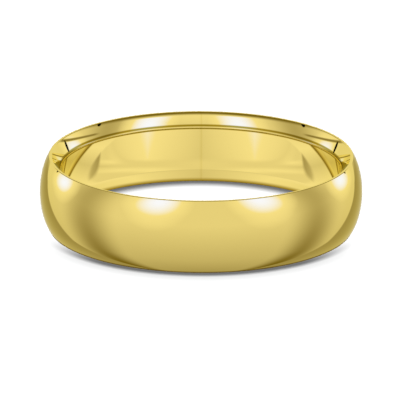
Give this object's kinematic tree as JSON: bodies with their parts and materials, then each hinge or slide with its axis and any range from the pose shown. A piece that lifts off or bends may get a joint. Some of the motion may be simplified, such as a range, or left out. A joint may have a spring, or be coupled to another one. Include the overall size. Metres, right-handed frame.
{
  "type": "wedding band",
  "caption": "Plain half-round wedding band with a polished dome outside, narrow flat rims and a straight finger hole that is bevelled out to each rim for comfort.",
  "frame": {"origin": "centre of the lower rim, on the axis of the finger hole, in the plane the band lies on", "axes": "+Z along the finger hole's axis, up when the band lies flat; +Y towards the solder joint; +X completes the right-handed set"},
  "size_m": [0.0218, 0.0218, 0.005],
  "materials": {
    "gold": "polished",
    "gold_solder": "polished"
  },
  "bodies": {
    "root": {"band": "gold", "solder_joint": "gold_solder"}
  },
  "joints": []
}
